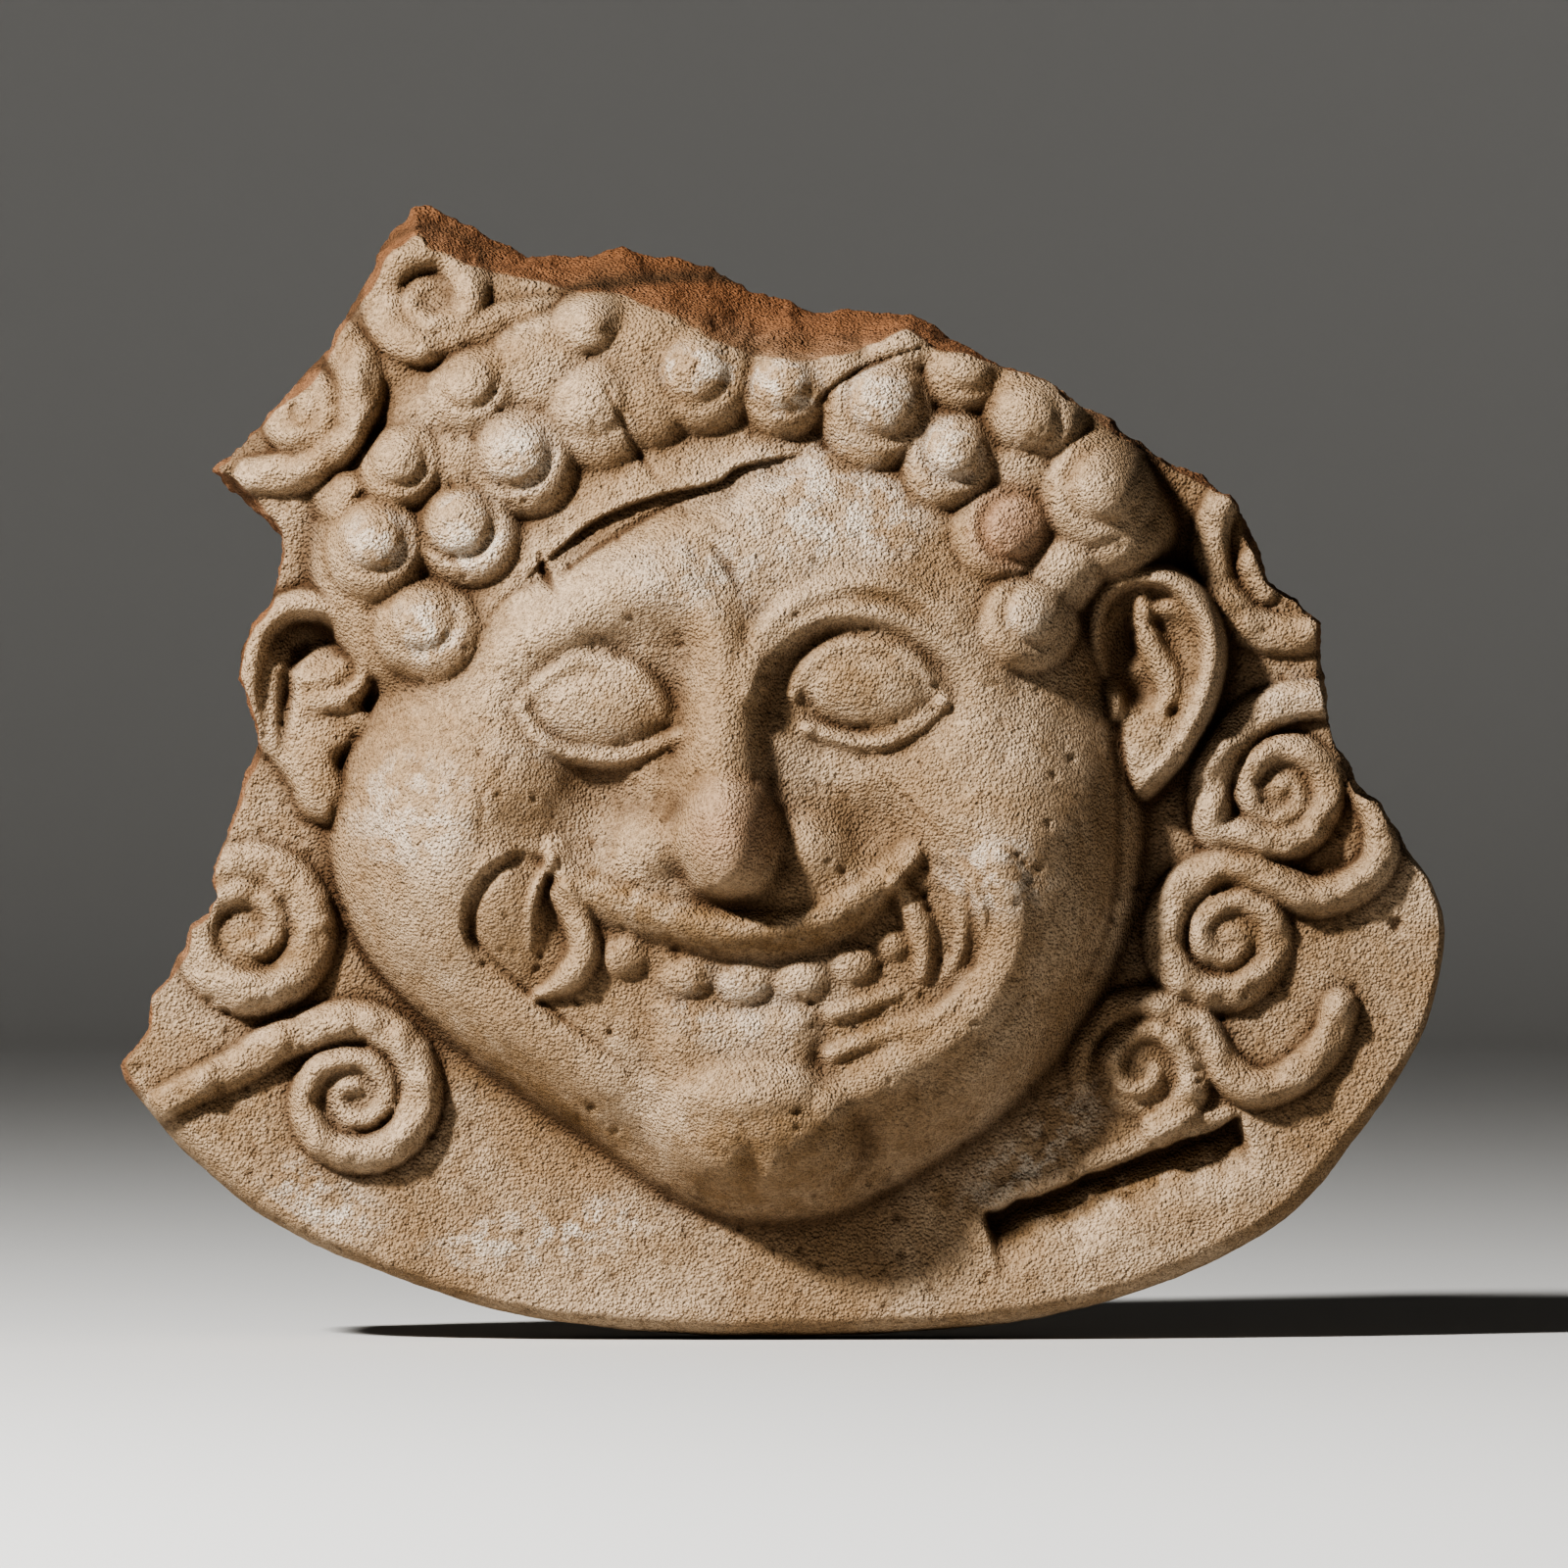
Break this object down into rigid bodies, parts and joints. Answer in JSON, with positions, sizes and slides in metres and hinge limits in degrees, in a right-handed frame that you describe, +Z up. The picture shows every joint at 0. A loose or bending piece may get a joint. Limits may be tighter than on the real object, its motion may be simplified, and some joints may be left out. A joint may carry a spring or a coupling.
{
  "type": "terracotta antefix",
  "caption": "Broken terracotta roof antefix: a moulded grinning gorgon mask with snail curls, ears and coiled snakes on a flat-backed clay plate with a curved rim.",
  "frame": {"origin": "on the flat back of the plate, behind the nose of the mask, at the mount called back", "axes": "+Z up the mask, +Y out of the flat back, the mask looks toward -Y, +X to the viewer's right"},
  "size_m": [0.2251, 0.0592, 0.1923],
  "materials": {
    "terracotta": "unglazed, sandy and pitted, matt"
  },
  "bodies": {
    "root": {"antefix": "terracotta"}
  },
  "joints": []
}
